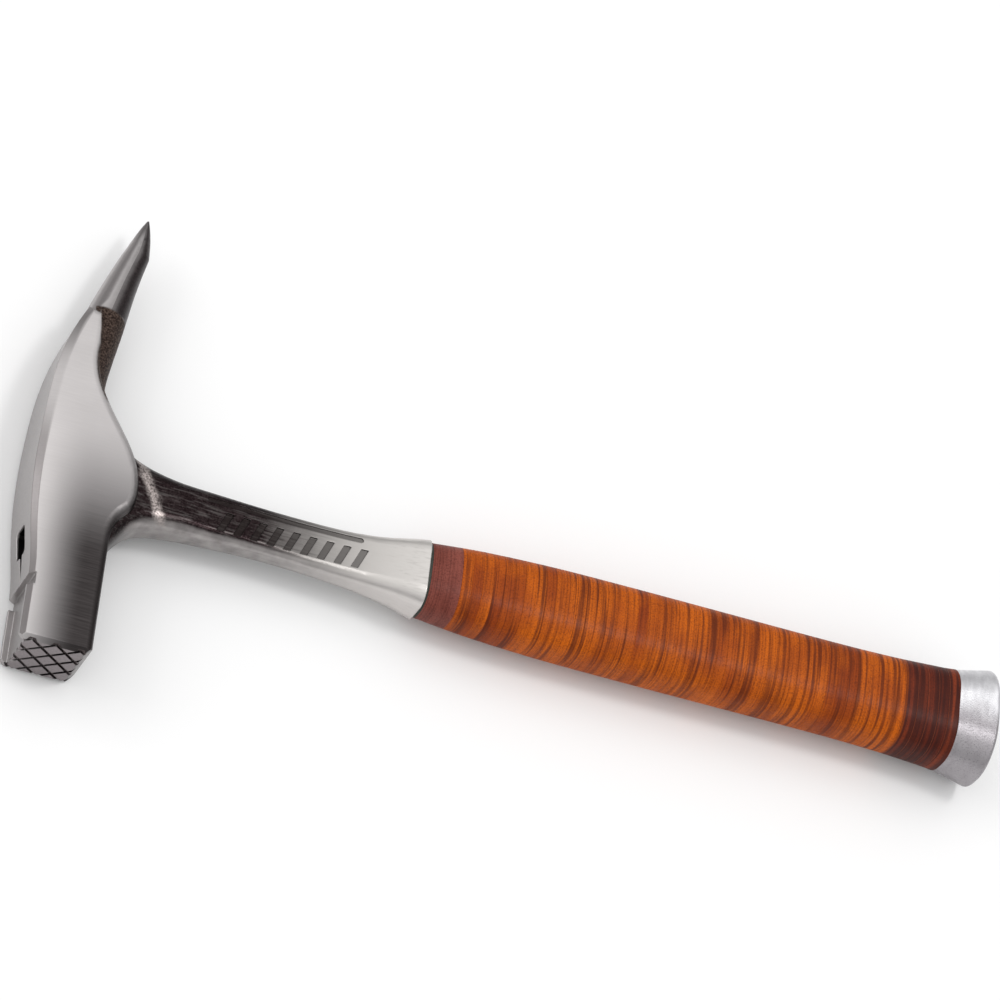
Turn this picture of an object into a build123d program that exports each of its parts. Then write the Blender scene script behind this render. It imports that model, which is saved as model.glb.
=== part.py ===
from build123d import *
import os

# One-piece forged roofing hammer with a leather washer grip, in millimetres.
#
# Head, spike, neck, shank and tang are one steel forging. Thin leather washers are threaded on
# the tang and clamped between the forged bolster and a cast aluminium end cap, and the end of
# the tang is peened over a steel washer inside the cap.
#
# The origin is the centre of the striking face. +X runs along the handle to the butt, +Y runs
# across the head to the spike, and +Z is square to both, so the hammer lies on its side.

# Driving dimensions
axis_y = 61.0            # handle axis above the striking face
cheek_z = 12.3           # half the thickness between the two ground cheeks
head_front = -15.5       # foremost point of the head's front face
block_front = -12.0      # front of the striking block, where the two ears stand
block_rear = 11.6        # rear of the striking block
cheek_end = 126.0        # height where the cheeks run out into the spike
spike_length = 161.4     # striking face to the tip of the spike
cheek_rear_fillet = 3.2    # rounding of the cheeks' rear edges
cheek_front_chamfer = 1.6  # bevel of the cheeks' front edges
face_bevel = 1.6         # bevel round the striking face
rear_bevel = 2.6         # its larger bevel on the handle side

bolster_x = 115.5        # end of the forged bolster, where the grip starts
cap_x = 297.6            # joint between the grip and the end cap
cap_end_x = 312.4        # top of the domed butt face
cap_dome = 2.2           # height of the dome above the widest edge of the cap

tang_wide = 12.0
tang_thick = 6.0
slot_gap = 0.1           # clearance between the tang and each washer's slot, on every side
spacer_thick = 0.9
front_dark_washers = 3
front_dark_thick = 3.3
rear_dark_washers = 5
rear_dark_thick = 3.6
leather_washers = 44

os.makedirs("parts", exist_ok=True)


def smooth(x, stations, column):
    """Value of one column of the stations at x, eased between stations with matching slopes."""
    last = len(stations) - 2
    i = min(max(sum(1 for s in stations if s[0] <= x) - 1, 0), last)

    def slope(j):
        low = stations[max(j - 1, 0)]
        high = stations[min(j + 1, last + 1)]
        return (high[column] - low[column]) / (high[0] - low[0])

    a = stations[i]
    b = stations[i + 1]
    span = b[0] - a[0]
    t = (x - a[0]) / span
    ease = t * t * (3 - 2 * t)
    lift = span * t * (1 - t)
    return a[column] + (b[column] - a[column]) * ease + lift * (slope(i) * (1 - t) - slope(i + 1) * t)


# Grip outline from the bolster to the butt edge: x, width along Y, thickness along Z
grip_stations = [
    (bolster_x, 24.0, 18.4),
    (135, 27.4, 21.0),
    (165, 29.5, 22.8),
    (255, 29.8, 23.2),
    (275, 30.5, 23.8),
    (288, 31.8, 24.7),
    (cap_x, 33.3, 25.8),
    (cap_end_x, 40.2, 29.8),
]
corner_share = 0.44      # corner radius of the grip's section, as a share of its thickness


def grip_section(x):
    """Rounded rectangle of the grip at x, as a sketch square to the handle."""
    wide = smooth(x, grip_stations, 1)
    thick = smooth(x, grip_stations, 2)
    with BuildSketch(Plane.YZ.offset(x)) as section:
        with Locations((axis_y, 0)):
            RectangleRounded(wide, thick, corner_share * thick)
    return section.sketch


# Forged body: the head block with its two ground cheeks
front_outline = [(block_front, 21), (-13.8, 38), (head_front, 57), (-14.9, 80), (-10.8, 107), (-4.9, 122)]
rear_outline = [(0.4, 120.5), (1, 112), (0.6, 102), (2.6, 93.5), (7.4, 84.5), (13, 76), (18, 64),
                (17.2, 53), (block_rear, 41)]
cheek_flat_end = 66      # the cheeks are flat up to here, then ground down towards the spike
cheek_top = [(cheek_flat_end, cheek_z), (84, cheek_z - 0.4), (104, 10), (cheek_end, 7)]

with BuildPart() as head:
    with BuildSketch(Plane.XY.offset(-cheek_z - 1)):
        with BuildLine():
            Line((block_rear, 0), (block_front, 0))
            Line((block_front, 0), front_outline[0])
            Spline(front_outline, tangents=[(0, 1), (0.5, 1)])
            Line(front_outline[-1], rear_outline[0])
            Spline(rear_outline, tangents=[(0.2, -1), (-0.05, -1)])
            Line(rear_outline[-1], (block_rear, 0))
        make_face()
    extrude(amount=2 * cheek_z + 2)
    with BuildSketch(Plane.YZ.offset(-40)):
        with BuildLine():
            Line((-1, cheek_z), cheek_top[0])
            Spline(cheek_top, tangents=[(1, 0), (1, -0.16)])
            Line((cheek_end, 7), (cheek_end, -7))
            Spline([(y, -z) for y, z in reversed(cheek_top)], tangents=[(-1, -0.16), (-1, 0)])
            Line((cheek_flat_end, -cheek_z), (-1, -cheek_z))
            Line((-1, -cheek_z), (-1, cheek_z))
        make_face()
    extrude(amount=80, mode=Mode.INTERSECT)
    rims = head.edges().filter_by(lambda e: abs(e.center().Z) > 5 and abs((e @ 0).Z - (e @ 1).Z) < 9)
    chamfer(rims.filter_by(lambda e: (e @ 0.5).X < -8 and e.length > 20), cheek_front_chamfer)
    rims = head.edges().filter_by(lambda e: abs(e.center().Z) > 5 and abs((e @ 0).Z - (e @ 1).Z) < 9)
    rims = rims.filter_by(lambda e: (e @ 0.5).Y > 1 and abs((e @ 0.5).Y - cheek_flat_end) > 0.1)
    fillet(rims.filter_by(lambda e: (e @ 0.5).X > -2.8), cheek_rear_fillet)
    for side in (1, -1):
        split(bisect_by=Plane((0, 0, side * (cheek_z - face_bevel)), z_dir=(0, -1, side)), keep=Keep.BOTTOM)
    split(bisect_by=Plane((block_front + face_bevel, 0, 0), z_dir=(-1, -1, 0)), keep=Keep.BOTTOM)
    split(bisect_by=Plane((block_rear - rear_bevel, 0, 0), z_dir=(1, -1, 0)), keep=Keep.BOTTOM)

# Spike: elliptical sections, height above the face, front, rear and half thickness
spike_sections = [(80, -12, 8, 8.5), (96, -12.6, 5, 8.6), (112, -8.2, 7.1, 8), (124, -4.4, 8.9, 6.9),
                  (131, -2, 9.9, 6.2), (139, 0.9, 11.3, 5.3), (147, 4, 13, 4.2)]
# Its point is ground back to a short second bevel
point_sections = [spike_sections[-1], (154, 7, 12.6, 2.7), (159.2, 9.4, 11.8, 1.1),
                  (spike_length, 10.6, 11.3, 0.4)]

with BuildPart() as spike:
    for sections in (spike_sections, point_sections):
        for y, front, rear, half_thick in sections:
            with BuildSketch(Plane.XZ.offset(-y)):
                with Locations(((front + rear) / 2, 0)):
                    Ellipse((rear - front) / 2, half_thick)
        loft()

# Neck, shank and bolster: x, lower edge, upper edge (both from the handle axis), thickness
shank_sections = [(6.5, -30, 23.4, 22), (10.5, -24, 17.6, 20), (14.5, -17.6, 14.2, 18),
                  (18.5, -12.3, 12.2, 16.5), (23.5, -9.5, 10.8, 15), (29.5, -8.4, 9.7, 14),
                  (39.5, -7.6, 9.1, 12.2), (50.5, -7.2, 8.8, 11), (65, -7.1, 8.5, 9.8),
                  (80, -7.7, 8.4, 9.5), (92, -8.4, 8.7, 10.6), (103, -9.5, 9.9, 13.6),
                  (bolster_x, -12, 12, 18.4)]


def shank_form(sunk):
    """Loft of the shank with both flat sides moved in by the sunk depth."""
    with BuildPart() as form:
        for x, lower, upper, thick in shank_sections:
            with BuildSketch(Plane.YZ.offset(x)):
                with Locations((axis_y + (lower + upper) / 2, 0)):
                    RectangleRounded(upper - lower, thick - 2 * sunk, 0.3 * (thick - 2 * sunk))
        loft()
    return form.part


# Tang: flat bar through the washers, then a round end peened over in the cap
peen_x = cap_end_x - 4.0
washer_floor_x = cap_end_x - 5.5
peen_r = 5.6
stub_r = 3.0
with BuildPart() as tang:
    with BuildSketch(Plane.YZ.offset(bolster_x - 5)):
        with Locations((axis_y, 0)):
            RectangleRounded(tang_wide, tang_thick, 1)
    extrude(amount=cap_x - 2 - bolster_x + 5)
    with BuildSketch(Plane.YZ.offset(cap_x - 4)):
        with Locations((axis_y, 0)):
            Circle(stub_r)
    extrude(amount=peen_x - cap_x + 4)
    with BuildSketch(Plane.YZ.offset(peen_x)):
        with Locations((axis_y, 0)):
            Circle(peen_r)
    extrude(amount=1.6, taper=25)

# Striking face: two families of square grooves at 45 degrees, crossing to leave rows of teeth
groove_pitch = 5.5
groove_wide = 1.1
groove_deep = 0.8
with BuildPart() as waffle:
    for angle in (45, -45):
        with BuildSketch(Plane.XZ.offset(-groove_deep)):
            for k in (-2.5, -1.5, -0.5, 0.5, 1.5, 2.5):
                with Locations(Location((0, 0), angle)):
                    with Locations((0, k * groove_pitch)):
                        Rectangle(60, groove_wide)
        extrude(amount=2 * groove_deep)

# Nail holder: magnet pocket, tapered nail groove and the channel between the two ears
pocket_y = 37.2
pocket_high = 9.5
pocket_wide = 9.0
pocket_deep = 6.5
channel_floor_x = -9.9
channel_wide = 18.8
ear_top_y = 18.5
with BuildPart() as nail_cuts:
    with BuildSketch(Plane.YZ.offset(head_front - 1)):
        with Locations((pocket_y, 0)):
            RectangleRounded(pocket_high, pocket_wide, 1.5)
    extrude(amount=pocket_deep + 1)
    with BuildSketch(Plane.YZ.offset(head_front - 1)):
        Polygon((pocket_y, -1.9), (pocket_y, 1.9), (23.4, 0.5), (23.4, -0.5), align=None)
    extrude(amount=4.8)
    with BuildSketch(Plane.YZ.offset(channel_floor_x)):
        with Locations((ear_top_y / 2 - 1, 0)):
            Rectangle(ear_top_y + 2, channel_wide)
        with Locations((ear_top_y + 2, 0)):
            Rectangle(4, 30)
    extrude(amount=-8)

# Shank panels: a long bar over a row of slanted bars, sunk in both flat sides
panel_deep = 0.5
long_bar_x = 68.0
long_bar_y = axis_y + 5.2
long_bar_length = 52.0
long_bar_wide = 1.6
slant_count = 9
slant_first_x = 46.0
slant_pitch = 5.6
slant_wide = 2.4
slant_lean = 2.8
slant_low_y = axis_y - 4.6
slant_high_y = axis_y + 2.2
with BuildPart() as panels:
    with BuildSketch(Plane.XY):
        with Locations((long_bar_x, long_bar_y)):
            SlotOverall(long_bar_length, long_bar_wide)
        for k in range(slant_count):
            x = slant_first_x + slant_pitch * k
            Polygon((x, slant_low_y), (x + slant_wide, slant_low_y),
                    (x + slant_wide + slant_lean, slant_high_y), (x + slant_lean, slant_high_y), align=None)
    extrude(amount=20, both=True)
    add(shank_form(panel_deep), mode=Mode.SUBTRACT)

with BuildPart() as forged_body:
    add(head.part)
    add(spike.part)
    add(shank_form(0))
    add(tang.part)
    add(waffle.part, mode=Mode.SUBTRACT)
    add(nail_cuts.part, mode=Mode.SUBTRACT)
    add(panels.part, mode=Mode.SUBTRACT)
forged_body.part.label = "forged_body"
export_step(forged_body.part, "parts/forged_body.step")

# Magnet in the bottom of the nail pocket
magnet_thick = 2.5
with BuildPart() as nail_magnet:
    with BuildSketch(Plane.YZ.offset(head_front + pocket_deep)):
        with Locations((pocket_y, 0)):
            RectangleRounded(pocket_high - 0.4, pocket_wide - 0.4, 1.3)
    extrude(amount=-magnet_thick)
nail_magnet.part.label = "nail_magnet"
export_step(nail_magnet.part, "parts/nail_magnet.step")


def write_washer(name, start, end):
    """One washer of the grip between two planes, with the slot for the tang cut through it."""
    with BuildPart() as washer:
        add(grip_section(start))
        add(grip_section(end))
        loft(ruled=True)
        with BuildSketch(Plane.YZ.offset(start - 1)):
            with Locations((axis_y, 0)):
                RectangleRounded(tang_wide + 2 * slot_gap, tang_thick + 2 * slot_gap, 1)
        extrude(amount=end - start + 2, mode=Mode.SUBTRACT)
    washer.part.label = name
    export_step(washer.part, f"parts/{name}.step")


# Grip stack: spacer, dark front washers, leather washers, dark rear washers
edges = [bolster_x, bolster_x + spacer_thick]
names = ["front_spacer"]
for k in range(front_dark_washers):
    names.append(f"front_dark_washer_{k + 1}")
    edges.append(edges[-1] + front_dark_thick)
leather_end = cap_x - rear_dark_washers * rear_dark_thick
leather_thick = (leather_end - edges[-1]) / leather_washers
for k in range(leather_washers):
    names.append(f"leather_washer_{k + 1:02d}")
    edges.append(edges[-1] + leather_thick)
for k in range(rear_dark_washers):
    names.append(f"rear_dark_washer_{k + 1}")
    edges.append(edges[-1] + rear_dark_thick)
for name, start, end in zip(names, edges, edges[1:]):
    write_washer(name, start, end)

# End cap: cast aluminium, flared and domed, counterbored for the peened tang
counterbore_r = 8.0
cap_edge_fillet = 1.2
half_cap = grip_stations[-1][1] / 2
dome_r = (half_cap**2 + cap_dome**2) / (2 * cap_dome)
with BuildPart() as end_cap:
    for x in (cap_x, (cap_x + cap_end_x) / 2, cap_end_x):
        add(grip_section(x))
    loft()
    with Locations((cap_end_x - dome_r, axis_y, 0)):
        Sphere(dome_r, mode=Mode.INTERSECT)
    fillet(end_cap.faces().sort_by(Axis.X)[-1].edges(), cap_edge_fillet)
    with BuildSketch(Plane.YZ.offset(cap_x)):
        with Locations((axis_y, 0)):
            Circle(stub_r + slot_gap)
    extrude(amount=20, mode=Mode.SUBTRACT)
    with BuildSketch(Plane.YZ.offset(washer_floor_x)):
        with Locations((axis_y, 0)):
            Circle(counterbore_r)
    extrude(amount=10, mode=Mode.SUBTRACT)
end_cap.part.label = "end_cap"
export_step(end_cap.part, "parts/end_cap.step")

# Steel washer between the peened tang end and the floor of the counterbore
rivet_washer_r = 7.8
with BuildPart() as rivet_washer:
    with BuildSketch(Plane.YZ.offset(washer_floor_x)):
        with Locations((axis_y, 0)):
            Circle(rivet_washer_r)
            Circle(stub_r + slot_gap, mode=Mode.SUBTRACT)
    extrude(amount=peen_x - washer_floor_x)
rivet_washer.part.label = "rivet_washer"
export_step(rivet_washer.part, "parts/rivet_washer.step")
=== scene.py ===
from math import radians

import bpy
import numpy as np
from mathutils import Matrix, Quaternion, Vector


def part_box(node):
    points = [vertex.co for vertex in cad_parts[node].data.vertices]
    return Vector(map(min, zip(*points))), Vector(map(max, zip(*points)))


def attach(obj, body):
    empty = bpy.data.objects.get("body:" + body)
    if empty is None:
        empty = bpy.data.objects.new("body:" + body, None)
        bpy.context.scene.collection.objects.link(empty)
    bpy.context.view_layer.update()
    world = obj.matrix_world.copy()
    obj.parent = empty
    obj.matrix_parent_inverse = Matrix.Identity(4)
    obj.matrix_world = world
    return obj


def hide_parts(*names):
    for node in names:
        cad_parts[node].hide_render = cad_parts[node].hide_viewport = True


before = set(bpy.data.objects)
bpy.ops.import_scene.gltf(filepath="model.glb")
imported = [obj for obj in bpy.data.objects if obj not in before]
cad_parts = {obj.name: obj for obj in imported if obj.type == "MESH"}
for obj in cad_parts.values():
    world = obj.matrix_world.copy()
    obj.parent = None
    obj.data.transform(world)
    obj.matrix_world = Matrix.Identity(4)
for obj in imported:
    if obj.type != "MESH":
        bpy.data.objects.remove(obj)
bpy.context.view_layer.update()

# Bench, light and camera. The hammer lies on its side on a pale bench that touches the end cap and
# the lower cheek. A soft box hangs over the grip, and a larger, weaker one stands before the head.
mm = 0.001
cheek_low = -12.3 * mm
bench_gap = 0.2 * mm
cap_low, cap_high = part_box("end_cap")
bench_slope = (cap_low.z - cheek_low) / cap_high.x
bench_half = 4.0
bench_x, bench_y = np.meshgrid([-bench_half, bench_half], [-bench_half, bench_half])
bench_z = cheek_low - bench_gap + bench_slope * bench_x
bench_mesh = bpy.data.meshes.new("bench")
bench_points = np.stack([bench_x, bench_y, bench_z], -1).reshape(-1, 3)
bench_mesh.from_pydata(bench_points.tolist(), [], [(0, 1, 3, 2)])
bench = bpy.data.objects.new("bench", bench_mesh)
bpy.context.scene.collection.objects.link(bench)


def wire(tree, kind, inputs=(), **settings):
    """A node with its settings, and its inputs fed by sockets or plain values, by name or place."""
    made = tree.nodes.new(kind)
    for key, value in settings.items():
        setattr(made, key, value)
    for place, value in dict(inputs).items():
        if isinstance(value, bpy.types.NodeSocket):
            tree.links.new(value, made.inputs[place])
        else:
            made.inputs[place].default_value = value
    return made


def new_finish(name):
    """A new material, its node tree and its Principled BSDF, with nothing wired in yet."""
    material = bpy.data.materials.new(name)
    material.use_nodes = True
    tree = material.node_tree
    return material, tree, tree.nodes["Principled BSDF"]


bench_paint, tree, shader = new_finish("pale_bench_paint")
clouds = wire(tree, "ShaderNodeTexNoise", {"Scale": 3.0, "Detail": 4.0})
tone = wire(tree, "ShaderNodeMapRange", {"Value": clouds.outputs[0], "To Min": 0.90, "To Max": 0.93})
tree.links.new(tone.outputs[0], shader.inputs["Base Color"])
shader.inputs["Roughness"].default_value = 0.8
shader.inputs["Specular IOR Level"].default_value = 0.2
bench_mesh.materials.append(bench_paint)

aim = Vector((0.1389, 0.0967, 0.0))
stand = Vector((-0.3536, -0.7849, 1.5400))
roll = radians(40.29)
camera_data = bpy.data.cameras.new("camera")
camera_data.lens = 207.0
camera_data.sensor_width = 36.0
camera_data.clip_end = 20.0
camera = bpy.data.objects.new("camera", camera_data)
camera.location = stand
camera.rotation_mode = "QUATERNION"
camera.rotation_quaternion = (aim - stand).to_track_quat("-Z", "Y") @ Quaternion((0, 0, 1), roll)
bpy.context.scene.collection.objects.link(camera)
bpy.context.scene.camera = camera


def soft_box(name, place, target, size, watts):
    """A rectangular area light at a place, turned to face a target."""
    data = bpy.data.lights.new(name, "AREA")
    data.shape = "RECTANGLE"
    data.size, data.size_y = size
    data.energy = watts
    lamp = bpy.data.objects.new(name, data)
    lamp.location = place
    lamp.rotation_mode = "QUATERNION"
    lamp.rotation_quaternion = (Vector(target) - Vector(place)).to_track_quat("-Z", "Y")
    bpy.context.scene.collection.objects.link(lamp)


soft_box("key_box", (0.51, 0.17, 1.30), (0.15, 0.06, 0), (0.26, 0.26), 3.2)
soft_box("front_box", (-1.2, 0.3, 0.8), (0, 0.06, 0), (0.9, 0.7), 4)

# the studio's walls are darker near the bench and brighter overhead
world = bpy.data.worlds.new("studio")
world.use_nodes = True
bpy.context.scene.world = world
room = world.node_tree
way = wire(room, "ShaderNodeTexCoord")
way_axes = wire(room, "ShaderNodeSeparateXYZ", {0: way.outputs["Generated"]})
wall_range = {"Value": way_axes.outputs["Z"], "From Max": 0.9, "To Min": 0.45, "To Max": 1.05}
wall_tone = wire(room, "ShaderNodeMapRange", wall_range, interpolation_type="SMOOTHSTEP")
background = room.nodes["Background"]
room.links.new(wall_tone.outputs[0], background.inputs["Color"])
background.inputs["Strength"].default_value = 1.0
bpy.context.scene.view_settings.view_transform = "Standard"

# Forged body: head, spike, neck, shank and tang in one piece of steel. The cheeks, the front and
# the spike are ground bright, the web behind the cheeks and the neck keep their dark forging
# scale, and the shank is brushed brighter towards the bolster.


def calc(tree, operation, *values):
    """Output of a Math node fed by sockets or plain values."""
    return wire(tree, "ShaderNodeMath", enumerate(values), operation=operation).outputs[0]


def times(tree, *values):
    """Product of two or more sockets or plain values."""
    product = values[0]
    for value in values[1:]:
        product = calc(tree, "MULTIPLY", product, value)
    return product


def step(tree, value, start, end):
    """Smooth step from 0 at start to 1 at end."""
    return wire(tree, "ShaderNodeMapRange", {"Value": value, "From Min": start, "From Max": end},
                interpolation_type="SMOOTHSTEP").outputs[0]


def mix(tree, share, first, second):
    """Colour between two colours, by a share from 0 to 1."""
    return wire(tree, "ShaderNodeMix", {0: share, 6: first, 7: second}, data_type="RGBA").outputs[2]


def colour(red, green, blue):
    return (red, green, blue, 1.0)


def new_group(name, needs, gives):
    """A shader node group with its named sockets. Returns it with what it is fed and what it feeds."""
    group = bpy.data.node_groups.new(name, "ShaderNodeTree")
    for way_round, sockets in (("INPUT", needs), ("OUTPUT", gives)):
        for socket, kind in sockets.items():
            group.interface.new_socket(socket, in_out=way_round, socket_type="NodeSocket" + kind)
    return group, group.nodes.new("NodeGroupInput").outputs, group.nodes.new("NodeGroupOutput").inputs


# drawn grain is noise over a place multiplied by a squeeze, so that it runs out in lines
drawn_grain, fed, feeds = new_group("drawn_grain", {"Place": "Vector", "Squeeze": "Vector", "Scale": "Float",
                                                    "Detail": "Float"}, {"Grain": "Float"})
drawn = wire(drawn_grain, "ShaderNodeVectorMath", {0: fed["Place"], 1: fed["Squeeze"]}, operation="MULTIPLY")
drawn_noise = wire(drawn_grain, "ShaderNodeTexNoise", {"Vector": drawn.outputs[0], "Scale": fed["Scale"],
                                                       "Detail": fed["Detail"]})
drawn_grain.links.new(drawn_noise.outputs[0], feeds["Grain"])


def grain_of(tree, place, squeeze, scale, detail=3.0):
    """The drawn grain group placed in a tree, with its own squeeze, scale and detail."""
    inputs = {"Place": place, "Squeeze": squeeze, "Scale": scale, "Detail": detail}
    return wire(tree, "ShaderNodeGroup", inputs, node_tree=drawn_grain).outputs[0]


def place_in_mm(tree):
    """Object coordinates in millimetres, and their X, Y and Z."""
    spot = wire(tree, "ShaderNodeTexCoord").outputs["Object"]
    scaled = wire(tree, "ShaderNodeVectorMath", {0: spot, "Scale": 1000.0}, operation="SCALE").outputs[0]
    axes = wire(tree, "ShaderNodeSeparateXYZ", {0: scaled}).outputs
    return scaled, axes[0], axes[1], axes[2]


def curve_through(tree, along, points):
    """Smooth height over a distance, through (distance, height) points, both in millimetres."""
    low, span = np.min(points, 0), np.ptp(points, 0)
    spot = calc(tree, "DIVIDE", calc(tree, "SUBTRACT", along, low[0]), span[0])
    made = wire(tree, "ShaderNodeFloatCurve", {"Value": spot})
    inside = ((np.array(points) - low) / span).tolist()
    line = made.mapping.curves[0]
    line.points[0].location = inside[0]
    line.points[1].location = inside[-1]
    for point in inside[1:-1]:
        line.points.new(*point)
    made.mapping.update()
    return calc(tree, "MULTIPLY_ADD", made.outputs[0], span[1], low[1])


# the outline of the head in millimetres: height above the striking face, then X or half thickness
front_line = [(0, -12), (21, -12), (38, -13.8), (57, -15.5), (80, -14.9), (107, -10.8), (122, -4.9)]
rear_line = [(0, 11.6), (41, 11.6), (53, 17.2), (64, 18), (76, 13), (84.5, 7.4), (93.5, 2.6),
             (102, 0.6), (112, 1), (120.5, 0.4), (130, 0.4)]
cheek_line = [(0, 12.3), (66, 12.3), (84, 11.9), (104, 10.0), (126, 7.0), (132, 7.0)]
# the flat sides of the shank in millimetres: X, then half thickness
shank_line = [(23.5, 7.5), (29.5, 7.0), (39.5, 6.1), (50.5, 5.5), (65, 4.9), (80, 4.75), (92, 5.3),
              (103, 6.8), (115.5, 9.2)]

forged_steel, tree, shader = new_finish("forged_steel")
place, x, y, z = place_in_mm(tree)
facing = wire(tree, "ShaderNodeSeparateXYZ", {0: wire(tree, "ShaderNodeTexCoord").outputs["Normal"]}).outputs
side = calc(tree, "ABSOLUTE", z)
sideways = calc(tree, "ABSOLUTE", facing[2])
wander = grain_of(tree, place, (1, 1, 1), 0.25)
patches = grain_of(tree, place, (1, 1, 1), 0.09, 4.0)
head_lines = grain_of(tree, place, (0.10, 2.2, 1.0), 1.0, 4.0)
shank_lines = grain_of(tree, place, (0.08, 1.6, 1.6), 1.0, 4.0)
pores = grain_of(tree, place, (1, 1, 1), 1.6, 5.0)

# ground steel: bright and brushed across, with painted shade darkening it towards the rear of the striking
# block
steel = mix(tree, patches, colour(0.60, 0.575, 0.57), colour(0.70, 0.67, 0.665))
shaded = times(tree, step(tree, y, 100, 60), step(tree, x, -16, 2))
steel = mix(tree, times(tree, shaded, 0.75), steel, colour(0.40, 0.382, 0.382))
steel = mix(tree, times(tree, head_lines, 0.35), steel, colour(0.40, 0.375, 0.375))
foremost = step(tree, facing[0], -0.3, -0.9)
steel = mix(tree, times(tree, foremost, 0.55), steel, colour(0.22, 0.205, 0.205))
# painted shade, near black and brushed, laid over the rear of the striking block
block_shade_colour = mix(tree, head_lines, colour(0.008, 0.006, 0.006), colour(0.055, 0.048, 0.048))
block_shade = times(tree, step(tree, x, -16, 5), step(tree, y, 80, 32))
steel = mix(tree, times(tree, block_shade, 0.97), steel, block_shade_colour)

# forging scale covers what faces the handle and the tip of the spike, and a painted dark reflection covers
# the side of the spike turned towards the handle
scale = mix(tree, step(tree, pores, 0.35, 0.7), colour(0.010, 0.006, 0.0065), colour(0.030, 0.021, 0.022))
scale = mix(tree, times(tree, step(tree, wander, 0.5, 0.75), 0.2), scale, colour(0.09, 0.07, 0.07))
spike_tip = times(tree, step(tree, y, 149, 159), 0.75)
# painted dark reflection on the spike's side turned towards the handle, joined with the scaled tip
spike_reflection_and_tip = calc(tree, "MAXIMUM", step(tree, facing[0], -0.65, 0.45), spike_tip)
spike_painted_reflection_and_tip = times(tree, spike_reflection_and_tip, step(tree, y, 119, 122))
rear_turn = step(tree, facing[0], 0.25, 0.95)
scale_and_spike_reflection = calc(tree, "MAXIMUM", times(tree, rear_turn, 0.96), times(tree, spike_painted_reflection_and_tip, 0.97))
base = mix(tree, scale_and_spike_reflection, steel, scale)

# the bevel along the front of each cheek gets a painted dark reflection, darker than the flats on both sides
# of it
inward = calc(tree, "SUBTRACT", x, curve_through(tree, y, front_line))
bevel_dark_reflection = times(tree, step(tree, sideways, 0.35, 0.6), step(tree, sideways, 0.97, 0.90))
bevel_dark_reflection = times(tree, bevel_dark_reflection, step(tree, facing[0], -0.2, -0.5), step(tree, inward, 3, 2))
base = mix(tree, times(tree, bevel_dark_reflection, 0.7), base, colour(0.16, 0.145, 0.145))

# the nail pocket and the tapered groove under it are black inside
pocket = times(tree, step(tree, side, 4.8, 4.6), step(tree, y, 32.1, 32.4), step(tree, y, 42.3, 42.0))
nail_groove = times(tree, step(tree, side, 2.2, 2.0), step(tree, y, 23.0, 23.4), step(tree, y, 33, 32))
pocket = times(tree, calc(tree, "MAXIMUM", pocket, nail_groove), step(tree, inward, 0.3, 0.9))
base = mix(tree, times(tree, pocket, 0.97), base, colour(0.008, 0.007, 0.007))

# the neck is scaled, and the shank turns from scale to brushed steel on its way to the bolster
behind = calc(tree, "SUBTRACT", x, curve_through(tree, y, rear_line))
inner = step(tree, side, 10.6, 9.2)
neck = calc(tree, "MAXIMUM", times(tree, step(tree, x, 8.5, 10.5), inner), step(tree, behind, 0.2, 1.2))
neck = times(tree, neck, step(tree, y, 92, 84))
brushed = mix(tree, shank_lines, colour(0.82, 0.79, 0.76), colour(0.42, 0.40, 0.38))
ragged_edge = calc(tree, "MULTIPLY_ADD", shank_lines, 0.5, -0.25)
shank = mix(tree, calc(tree, "ADD", step(tree, x, 54, 114), ragged_edge), scale, brushed)
# painted highlight: the shank's faces turned to -Y, its underside, are painted lighter
underside_highlight = times(tree, step(tree, facing[1], -0.4, -0.8), calc(tree, "MULTIPLY_ADD", wander, 0.5, 0.2))
shank = mix(tree, underside_highlight, shank, colour(0.62, 0.585, 0.575))

# a painted highlight runs down the neck just behind the cheek
highlight_x = calc(tree, "MULTIPLY_ADD", y, -0.5, calc(tree, "MULTIPLY_ADD", wander, 4.0, 52.5))
highlight_off = calc(tree, "ABSOLUTE", calc(tree, "SUBTRACT", x, highlight_x))
neck_highlight = times(tree, step(tree, highlight_off, 2.8, 0.0), step(tree, sideways, 0.3, 0.75))
neck_highlight = times(tree, neck_highlight, step(tree, pores, 0.15, 0.75))
shank = mix(tree, neck_highlight, shank, colour(0.50, 0.44, 0.42))

# the struck bars get painted shade, on their walls and where they are sunk below the shank's flat side
sunk = calc(tree, "SUBTRACT", curve_through(tree, x, shank_line), side)
bar_floor = times(tree, step(tree, sunk, 0.22, 0.4), step(tree, sideways, 0.93, 0.98))
bar_rows = times(tree, step(tree, y, 55.6, 56), step(tree, y, 67.4, 67))
bar_wall = times(tree, step(tree, sunk, 0.02, 0.08), step(tree, sideways, 0.9, 0.6), bar_rows)
bar_shade = calc(tree, "MAXIMUM", times(tree, bar_floor, 0.7), bar_wall)
bar_shade = times(tree, bar_shade, step(tree, x, 40, 41), step(tree, x, 106, 105))
shank = mix(tree, times(tree, bar_shade, 0.95), shank, colour(0.022, 0.018, 0.017))
base = mix(tree, neck, base, shank)

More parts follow.
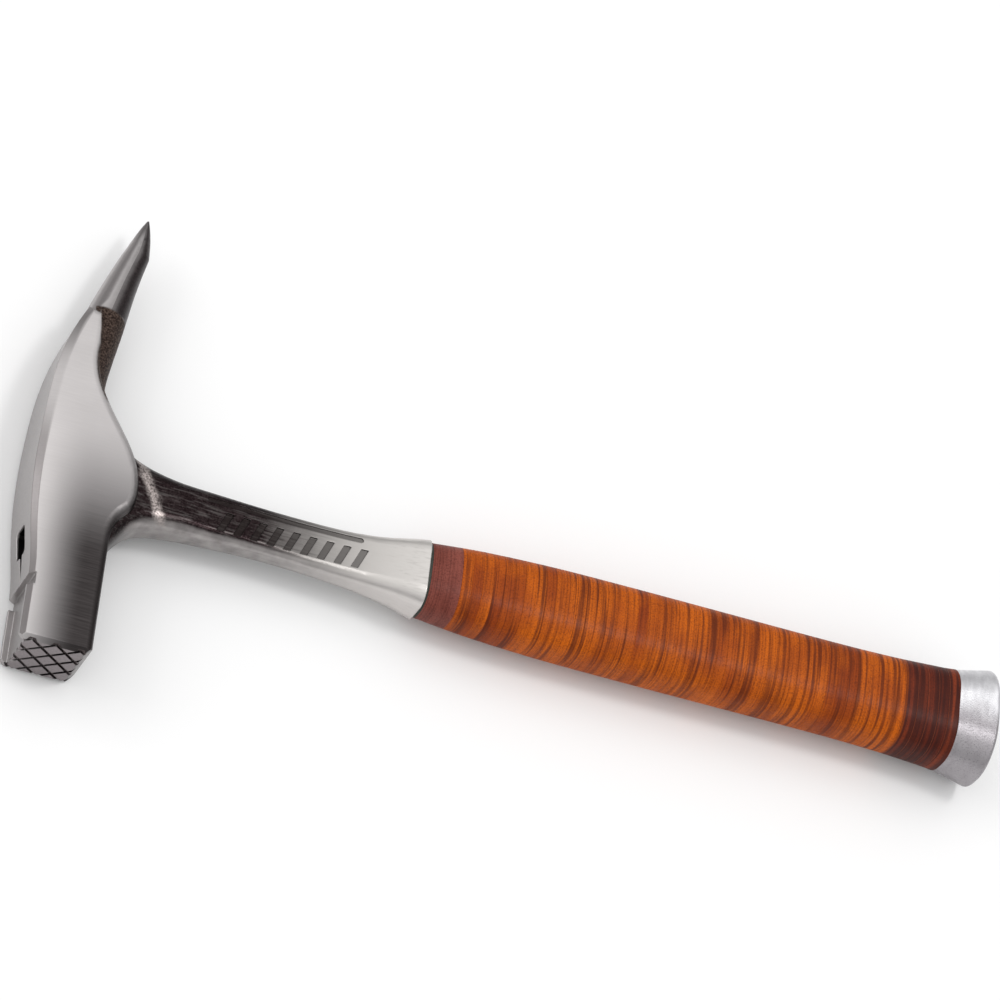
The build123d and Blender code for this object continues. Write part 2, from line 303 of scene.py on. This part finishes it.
# the web between the cheeks is as it left the die, up to where the spike is ground
in_web = times(tree, step(tree, y, 86, 90), step(tree, calc(tree, "MULTIPLY_ADD", x, 0.25, y), 123.3, 122.3))
under_cheek = calc(tree, "SUBTRACT", curve_through(tree, y, cheek_line), side)
under_rim = times(tree, step(tree, behind, -3.3, -2.9), step(tree, under_cheek, 0.25, 0.9))
past_rim = step(tree, calc(tree, "MULTIPLY_ADD", step(tree, y, 104, 112), 1.6, behind), -0.6, 0.2)
web = times(tree, in_web, calc(tree, "MAXIMUM", past_rim, under_rim))
rough_web = mix(tree, step(tree, pores, 0.35, 0.7), colour(0.022, 0.014, 0.012), colour(0.12, 0.085, 0.07))
base = mix(tree, web, base, rough_web)

# the waffle's grooves are darker, and its land is darker than the bevel round it
land = times(tree, step(tree, facing[1], -0.8, -0.97), step(tree, y, 2.0, 1.2))
tooth = mix(tree, pores, colour(0.36, 0.325, 0.335), colour(0.20, 0.18, 0.18))
waffle = mix(tree, step(tree, y, 0.25, 0.6), tooth, colour(0.12, 0.10, 0.10))
base = mix(tree, land, base, waffle)
tree.links.new(base, shader.inputs["Base Color"])

dull = calc(tree, "MAXIMUM", web, land)
rough = calc(tree, "MULTIPLY_ADD", dull, 0.25, calc(tree, "MULTIPLY_ADD", head_lines, 0.16, 0.26))
tree.links.new(rough, shader.inputs["Roughness"])
shader.inputs["Metallic"].default_value = 1.0
pore_depth = calc(tree, "MULTIPLY_ADD", dull, 1.0, 0.05)
relief = calc(tree, "MULTIPLY_ADD", pores, pore_depth, times(tree, head_lines, 0.12))
bump = wire(tree, "ShaderNodeBump", {"Height": relief, "Strength": 0.35, "Distance": 0.3 * mm})
tree.links.new(bump.outputs[0], shader.inputs["Normal"])
rounding = wire(tree, "ShaderNodeBevel", {"Radius": 0.5 * mm}, samples=6)
tree.links.new(rounding.outputs[0], bump.inputs["Normal"])


def finish_node(name, material):
    """Give a node of the frame its material in place of the plain one."""
    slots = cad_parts[name].data.materials
    slots.clear()
    slots.append(material)


finish_node("forged_body", forged_steel)

# Magnet: a small nickel-plated block set in the bottom of the nail pocket.
nickel, tree, shader = new_finish("dull_nickel")
place, x, y, z = place_in_mm(tree)
scuffs = grain_of(tree, place, (1, 1, 3), 1.2, 4.0)
nickel_tone = mix(tree, scuffs, colour(0.012, 0.011, 0.011), colour(0.07, 0.065, 0.065))
tree.links.new(nickel_tone, shader.inputs["Base Color"])
tree.links.new(calc(tree, "MULTIPLY_ADD", scuffs, 0.3, 0.3), shader.inputs["Roughness"])
shader.inputs["Metallic"].default_value = 1.0
finish_node("nail_magnet", nickel)

# Grip stack: a fibre spacer and thin leather washers, threaded on the tang, pressed tight, then
# sanded to one shape and lacquered. Each keeps a slightly rounded rim, so a fine groove shows.
grip_power = 2.7         # the grip's section is a superellipse of this power
slot_power = 6.0
slot_half = (6.1 * mm, 3.1 * mm)
bolster_half = (11.7 * mm, 9.2 * mm)
rim_radius = 0.22 * mm
joint_wander = 0.0       # how far a rim strays from flat; this stack is pressed flat
around = np.linspace(0, 2 * np.pi, 128, endpoint=False)
across_rim = np.array([0, 0.1, 0.3, 0.6, 1.0])
axis_y = (cap_low.y + cap_high.y) / 2


def superellipse(power, half_wide, half_thick, turn):
    """Points where |y/a| to the power plus |z/b| to the power is 1, as the angle goes round."""
    c, s = np.cos(turn), np.sin(turn)
    width = half_wide * np.sign(c) * np.abs(c) ** (2 / power)
    depth = half_thick * np.sign(s) * np.abs(s) ** (2 / power)
    return width, depth


def ring(name, start, end, sizes, seed):
    """A closed ring carried round the handle. Its outer wall runs straight from start to end, and
    each rim falls away along a quarter circle. Its inner wall is the tang's slot. sizes are the
    half width and half thickness at the two ends."""
    random = np.random.default_rng(seed)
    rim_share = across_rim * rim_radius / (end - start)
    share = np.concatenate([rim_share, 1 - rim_share[::-1]])
    drop = rim_radius * (1 - np.sqrt(1 - (1 - across_rim) ** 2)) * 0.3
    drop = np.concatenate([drop, drop[::-1]])
    rows = []
    for part, sunk in zip(share, drop):
        half_wide = sizes[0][0] * (1 - part) + sizes[1][0] * part - sunk
        half_thick = sizes[0][1] * (1 - part) + sizes[1][1] * part - sunk
        width, depth = superellipse(grip_power, half_wide, half_thick, around)
        waves = sum(random.normal() * np.sin(k * around + random.uniform(0, 6.3)) / k for k in range(2, 7))
        at = start + part * (end - start) + joint_wander * waves
        rows.append(np.stack([at, width + axis_y, depth], -1))
    for at in (end, start):
        width, depth = superellipse(slot_power, *slot_half, around)
        rows.append(np.stack([np.full_like(around, at), width + axis_y, depth], -1))
    points = np.stack(rows)
    count, steps = points.shape[:2]
    row, column = np.meshgrid(np.arange(count), np.arange(steps), indexing="ij")
    next_row, next_column = (row + 1) % count, (column + 1) % steps
    faces = np.stack([row * steps + column, row * steps + next_column,
                      next_row * steps + next_column, next_row * steps + column], -1).reshape(-1, 4)
    mesh = bpy.data.meshes.new(name)
    mesh.from_pydata(points.reshape(-1, 3).tolist(), [], faces.tolist())
    mesh.polygons.foreach_set("use_smooth", np.ones(len(mesh.polygons), bool))
    seam = np.ones(count)
    seam[:len(share)] = np.concatenate([1 - across_rim, (1 - across_rim)[::-1]])
    mesh.attributes.new("seam", "FLOAT", "POINT").data.foreach_set("value", np.repeat(seam, steps))
    tone = np.full(count * steps, random.uniform())
    mesh.attributes.new("tone", "FLOAT", "POINT").data.foreach_set("value", tone)
    made = bpy.data.objects.new(name, mesh)
    bpy.context.scene.collection.objects.link(made)
    return made


# leather pattern: blotches between two browns, dark stripes square to the handle that crowd
# towards the butt, fine grain, and a seam colour at the rims
pattern, fed, feeds = new_group("leather_pattern", {
    "Place": "Vector", "Along": "Float", "Tone": "Float", "Seam": "Float", "Light": "Color", "Deep": "Color",
    "Stripe": "Color", "Seam Colour": "Color", "Stripe Start": "Float", "Seam Share": "Float"},
    {"Colour": "Color", "Roughness": "Float", "Relief": "Float"})
blotch = grain_of(pattern, fed["Place"], (0.10, 0.06, 0.06), 1.0, 4.0)
bands = grain_of(pattern, fed["Place"], (0.55, 0.016, 0.016), 1.0, 5.0)
fine = grain_of(pattern, fed["Place"], (2.2, 0.018, 0.018), 1.0, 5.0)
grain = grain_of(pattern, fed["Place"], (1, 1, 1), 2.0, 5.0)
fade = grain_of(pattern, fed["Place"], (0.05, 0.05, 0.05), 1.0, 2.0)
skin = mix(pattern, times(pattern, step(pattern, blotch, 0.35, 0.7), 0.6), fed["Light"], fed["Deep"])
dark_washer = times(pattern, step(pattern, fed["Tone"], 0.5, 1.0), step(pattern, fade, 0.3, 0.6))
skin = mix(pattern, dark_washer, skin, fed["Deep"])
fine_line = times(pattern, step(pattern, fine, 0.44, 0.66), times(pattern, grain, 0.85))
skin = mix(pattern, fine_line, skin, fed["Stripe"])
toward_butt = step(pattern, fed["Along"], 120, 290)
stripe_start = calc(pattern, "MULTIPLY_ADD", toward_butt, -0.07, fed["Stripe Start"])
dark_band = step(pattern, calc(pattern, "SUBTRACT", bands, stripe_start), -0.03, 0.12)
dark_band = times(pattern, dark_band, calc(pattern, "MULTIPLY_ADD", fade, 0.8, 0.35))
skin = mix(pattern, dark_band, skin, fed["Stripe"])
skin = mix(pattern, times(pattern, step(pattern, grain, 0.42, 0.72), 0.45), skin, fed["Stripe"])
rim = times(pattern, step(pattern, fed["Seam"], 0.5, 1.0), fed["Seam Share"])
skin = mix(pattern, rim, skin, fed["Seam Colour"])
pattern.links.new(skin, feeds["Colour"])
pattern.links.new(calc(pattern, "MULTIPLY_ADD", grain, 0.25, 0.38), feeds["Roughness"])
pattern.links.new(calc(pattern, "MULTIPLY_ADD", fine, 0.5, times(pattern, grain, 0.6)), feeds["Relief"])


def leather(name, light, deep, stripe, seam_colour, stripe_start, seam_share):
    """A lacquered leather with its own browns in the leather pattern. A lower stripe start gives
    more dark stripes."""
    material, tree, shader = new_finish(name)
    place, x, y, z = place_in_mm(tree)
    tone = wire(tree, "ShaderNodeAttribute", attribute_name="tone").outputs["Fac"]
    seam = wire(tree, "ShaderNodeAttribute", attribute_name="seam").outputs["Fac"]
    skin = wire(tree, "ShaderNodeGroup", {
        "Place": place, "Along": x, "Tone": tone, "Seam": seam, "Light": colour(*light),
        "Deep": colour(*deep), "Stripe": colour(*stripe), "Seam Colour": colour(*seam_colour),
        "Stripe Start": stripe_start, "Seam Share": seam_share}, node_tree=pattern).outputs
    tree.links.new(skin["Colour"], shader.inputs["Base Color"])
    tree.links.new(skin["Roughness"], shader.inputs["Roughness"])
    shader.inputs["Coat Weight"].default_value = 0.16
    shader.inputs["Coat Roughness"].default_value = 0.33
    shader.inputs["Specular IOR Level"].default_value = 0.05
    bump = wire(tree, "ShaderNodeBump", {"Height": skin["Relief"], "Strength": 0.5, "Distance": 0.3 * mm})
    tree.links.new(bump.outputs[0], shader.inputs["Normal"])
    return material


skins = {
    "spacer": leather("spacer_fibre", (0.08, 0.085, 0.07), (0.035, 0.04, 0.035), (0.015, 0.016, 0.014),
                      (0.03, 0.03, 0.025), 0.62, 0.3),
    "front_dark": leather("front_dark_leather", (0.24, 0.066, 0.048), (0.11, 0.022, 0.014),
                          (0.05, 0.008, 0.006), (0.05, 0.010, 0.006), 0.64, 0.4),
    "leather": leather("tan_leather", (0.55, 0.112, 0.003), (0.27, 0.042, 0.003), (0.085, 0.012, 0.002),
                       (0.10, 0.018, 0.004), 0.54, 0.3),
    "rear_dark": leather("rear_dark_leather", (0.22, 0.036, 0.010), (0.10, 0.014, 0.005),
                         (0.035, 0.006, 0.004), (0.34, 0.085, 0.035), 0.52, 0.6),
}
washers = [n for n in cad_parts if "washer" in n and n != "rivet_washer"]
stack = ["front_spacer"] + sorted(washers, key=lambda n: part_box(n)[0].x)
front_half = bolster_half
for number, node in enumerate(stack):
    low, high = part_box(node)
    rear_half = ((high.y - low.y) / 2, (high.z - low.z) / 2)
    kind = "spacer" if number == 0 else node.split("_washer")[0]
    name = node + "_leather" if number else "fibre_spacer"
    piece = ring(name, low.x, high.x, (front_half, rear_half), number)
    piece.data.materials.append(skins[kind])
    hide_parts(node)
    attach(piece, "root")
    front_half = rear_half

# End cap: cast aluminium, flared and domed, tumbled smooth. Fine pits show on it, and the tang's
# end is peened over a steel washer in its counterbore.
cast, tree, shader = new_finish("cast_aluminium")
place, x, y, z = place_in_mm(tree)
pits = grain_of(tree, place, (1, 1, 1), 2.6, 5.0)
clouds = grain_of(tree, place, (1, 1, 1), 0.09, 3.0)
streaks = grain_of(tree, place, (0.5, 0.15, 0.15), 1.0, 3.0)
# painted shade: the lower part of the cap, with a cloudy edge, is painted darker, and its real pits are
# darkened more inside that painted shade
lower = step(tree, calc(tree, "ADD", y, times(tree, clouds, 14)), 72, 62)
pits_and_lower_shade = times(tree, step(tree, pits, 0.50, 0.70), calc(tree, "MULTIPLY_ADD", lower, 0.55, 0.15))
skin = mix(tree, step(tree, streaks, 0.3, 0.7), colour(0.74, 0.735, 0.755), colour(0.60, 0.595, 0.615))
skin = mix(tree, times(tree, lower, 0.75), skin, colour(0.26, 0.235, 0.25))
skin = mix(tree, times(tree, pits_and_lower_shade, 0.75), skin, colour(0.13, 0.125, 0.13))
tree.links.new(skin, shader.inputs["Base Color"])
tree.links.new(calc(tree, "MULTIPLY_ADD", pits, 0.25, 0.28), shader.inputs["Roughness"])
shader.inputs["Metallic"].default_value = 1.0
bump = wire(tree, "ShaderNodeBump", {"Height": pits, "Strength": 0.3, "Distance": 0.3 * mm})
tree.links.new(bump.outputs[0], shader.inputs["Normal"])
finish_node("end_cap", cast)

# Rivet washer: a plain steel washer, bright from its press and scuffed by the peening hammer.
washer_steel, tree, shader = new_finish("washer_steel")
place, x, y, z = place_in_mm(tree)
scuffs = grain_of(tree, place, (1, 1, 1), 0.9, 5.0)
washer_tone = mix(tree, scuffs, colour(0.5, 0.49, 0.48), colour(0.2, 0.19, 0.18))
tree.links.new(washer_tone, shader.inputs["Base Color"])
tree.links.new(calc(tree, "MULTIPLY_ADD", scuffs, 0.3, 0.25), shader.inputs["Roughness"])
shader.inputs["Metallic"].default_value = 1.0
finish_node("rivet_washer", washer_steel)
